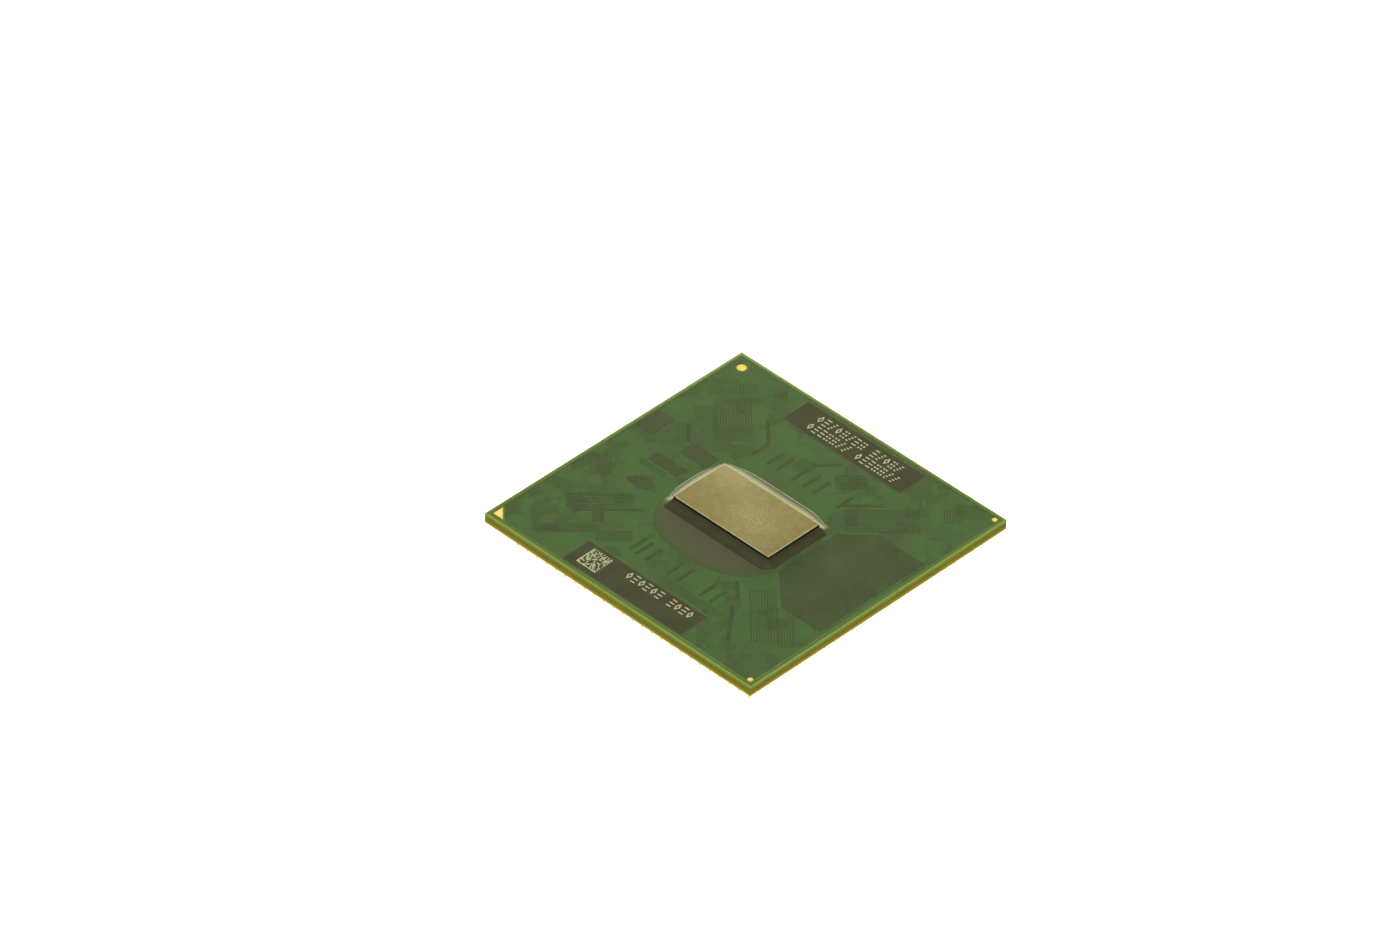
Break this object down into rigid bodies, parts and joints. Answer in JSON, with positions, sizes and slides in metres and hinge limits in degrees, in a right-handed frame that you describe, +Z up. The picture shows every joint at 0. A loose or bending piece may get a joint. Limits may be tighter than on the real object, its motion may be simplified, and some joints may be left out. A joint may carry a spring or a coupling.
{
  "type": "computer processor",
  "caption": "Square mobile computer processor: a bare rectangular die on a green laminate package that stands on a field of contact pins, with one corner keyed.",
  "frame": {"origin": "middle of the plane that the pin tips stand on", "axes": "+Z up from the pin tips to the die, +X along the die's length, with the keyed corner at -X -Y"},
  "size_m": [0.035, 0.035, 0.004],
  "materials": {
    "laminate": "matt cut edge of resin and glass fibre",
    "build_up_film": "matt cut edge",
    "solder_mask": "satin green lacquer over copper",
    "copper": "plated, matt",
    "plug_resin": "matt",
    "gold": "gold plate, satin",
    "solder": "bright solder",
    "tin": "tin plate, satin",
    "silicon": "ground back of the die, satin",
    "die_wiring": "satin",
    "underfill_resin": "glossy cured resin",
    "dark_ink": "matt printed ink",
    "light_marks": "matt laser mark",
    "capacitor_ceramic": "matt fired ceramic"
  },
  "bodies": {
    "root": {"core_laminate": "laminate", "core_vias": "copper", "via_plugs": "plug_resin", "upper_core_plane": "copper", "lower_core_plane": "copper", "upper_inner_film": "build_up_film", "lower_inner_film": "build_up_film", "upper_signal_copper": "copper", "lower_power_copper": "copper", "upper_outer_film": "build_up_film", "lower_outer_film": "build_up_film", "top_copper": "copper", "top_solder_mask": "solder_mask", "bottom_solder_mask": "solder_mask", "pin_lands": "copper", "capacitor_lands": "copper", "pin_solder_joints": "solder", "pin_heads": "gold", "contact_pins": "gold", "pin_one_triangle": "gold", "large_alignment_pad": "gold", "small_alignment_pads": "gold", "bump_lands": "copper", "die_bumps": "solder", "die_wired_layer": "die_wiring", "die_silicon": "silicon", "underfill": "underfill_resin", "rear_marking_panel": "dark_ink", "front_marking_panel": "dark_ink", "rear_marks": "light_marks", "front_marks": "light_marks", "dot_matrix": "light_marks", "capacitor_bodies": "capacitor_ceramic", "capacitor_terminals": "tin", "capacitor_solder": "solder"}
  },
  "joints": []
}
